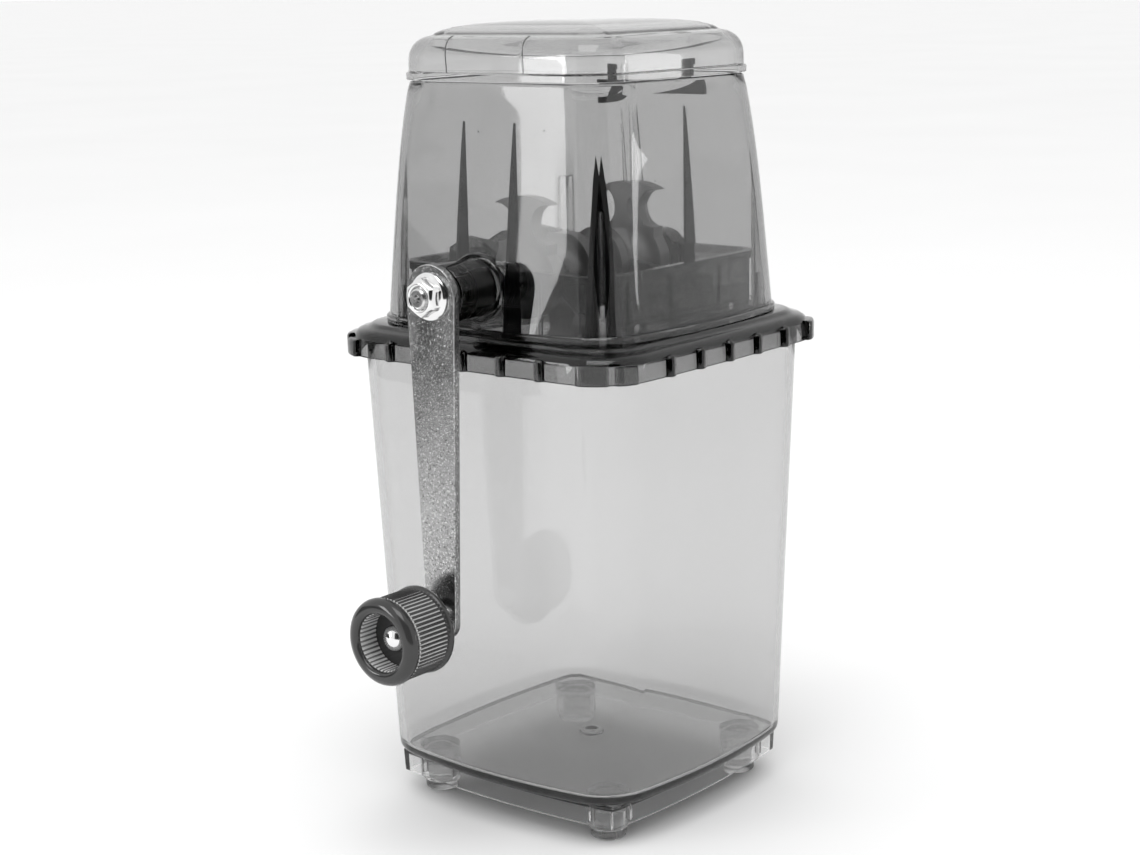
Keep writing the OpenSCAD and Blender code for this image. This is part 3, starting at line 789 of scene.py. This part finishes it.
def softbox(name, azimuth, elevation, centre, width, height, lean, glow, distance=1.5, only=None):
    """Lamp seen from centre at that azimuth from +X and elevation, with its long side leaning from upright.

    only names the one object that it lights.
    """
    lamp = bpy.data.lights.new(name, "AREA")
    lamp.shape = "RECTANGLE"
    lamp.size, lamp.size_y = width, height
    lamp.energy = glow * math.pi * width * height
    obj = new_object(name, lamp)
    a, e, tip = (math.radians(v) for v in (azimuth, elevation, lean))
    out = Vector((math.cos(a) * math.cos(e), math.sin(a) * math.cos(e), math.sin(e)))
    sideways = Vector((-math.sin(a), math.cos(a), 0))
    upright = out.cross(sideways)
    tall = sideways * math.sin(tip) + upright * math.cos(tip)
    obj.matrix_world = Matrix.Translation(mm(*centre) + out * distance) @ Matrix(
        (tall.cross(out), tall, out)).transposed().to_4x4()
    obj.visible_camera = False
    obj.visible_transmission = False
    if only:
        group = bpy.data.collections.new(name)
        group.objects.link(bpy.data.objects[only])
        obj.light_linking.receiver_collection = group


def flag(name, direction, distance, width, low, high):
    """Upright black card that only polished surfaces see, facing the object."""
    a = math.radians(direction)
    bm = bmesh.new()
    bmesh.ops.create_grid(bm, x_segments=1, y_segments=1, size=0.5)
    bm.transform(Matrix.Translation((distance * math.cos(a), distance * math.sin(a), (low + high) / 2))
                 @ Matrix.Rotation(a - math.pi / 2, 4, "Z") @ Matrix.Rotation(math.pi / 2, 4, "X")
                 @ Matrix.Diagonal((width, high - low, 1, 1)))
    mesh = bpy.data.meshes.new(name)
    bm.to_mesh(mesh)
    bm.free()
    obj = new_object(name, mesh)
    s = Shader(name)
    s.set(Roughness=1.0, Base_Color=(0.01, 0.01, 0.01, 1))
    mesh.materials.append(s.material)
    obj.visible_camera = obj.visible_diffuse = obj.visible_shadow = False
    obj.visible_transmission = obj.visible_volume_scatter = False


def make_camera():
    """The camera stands to the right of the crank and looks slightly down."""
    turn, pitch, roll = (math.radians(a) for a in (39.46, 12.114, -1.220))
    forward = Vector((-math.sin(turn) * math.cos(pitch), math.cos(turn) * math.cos(pitch), -math.sin(pitch)))
    level = Vector((math.cos(turn), math.sin(turn), 0))
    upright = level.cross(forward)
    right = level * math.cos(roll) + upright * math.sin(roll)
    up = upright * math.cos(roll) - level * math.sin(roll)
    data = bpy.data.cameras.new("camera")
    data.sensor_width, data.lens = 36, 66.76
    data.clip_start, data.clip_end = 0.01, 50
    camera = new_object("camera", data)
    camera.matrix_world = Matrix.Translation(mm(421.45, -519.26, 263.19)) @ Matrix(
        (right, up, -forward)).transposed().to_4x4()
    bpy.context.scene.camera = camera


def make_world():
    world = bpy.data.worlds.new("world")
    world.use_nodes = True
    world.node_tree.nodes["Background"].inputs["Color"].default_value = (1, 1, 1, 1)
    world.node_tree.nodes["Background"].inputs["Strength"].default_value = 1.0
    bpy.context.scene.world = world


make_floor()
make_world()
softbox("front_softbox", -122.5, 9.4, (22, -45, 205), 0.289, 0.665, -29, 6)
softbox("side_softbox", 39.9, 1.45, (46, -34, 200), 0.058, 0.41, 60.5, 5.5)
softbox("lid_softbox", -124.2, 10, (25, -42, 238), 0.33, 0.8, 0, 6, only="lid_shell")
softbox("lid_side_softbox", 49.5, 8, (42, 0, 240), 0.22, 0.6, 0, 3, only="lid_shell")
softbox("top_softbox", -60, 65, (0, 0, 150), 0.9, 0.9, 0, 3)
flag("camera_flag", -51, 1.0, 1.4, 0.0, 1.0)
flag("low_flag", -140, 0.68, 0.44, 0.0, 0.19)
make_camera()

scene = bpy.context.scene
scene.view_settings.view_transform = "Standard"
scene.view_settings.look = "None"
scene.cycles.max_bounces = 40
scene.cycles.transmission_bounces = 36
scene.cycles.glossy_bounces = 8
scene.cycles.diffuse_bounces = 3
scene.cycles.transparent_max_bounces = 48
scene.cycles.caustics_reflective = False
scene.cycles.caustics_refractive = False
scene.cycles.use_denoising = True
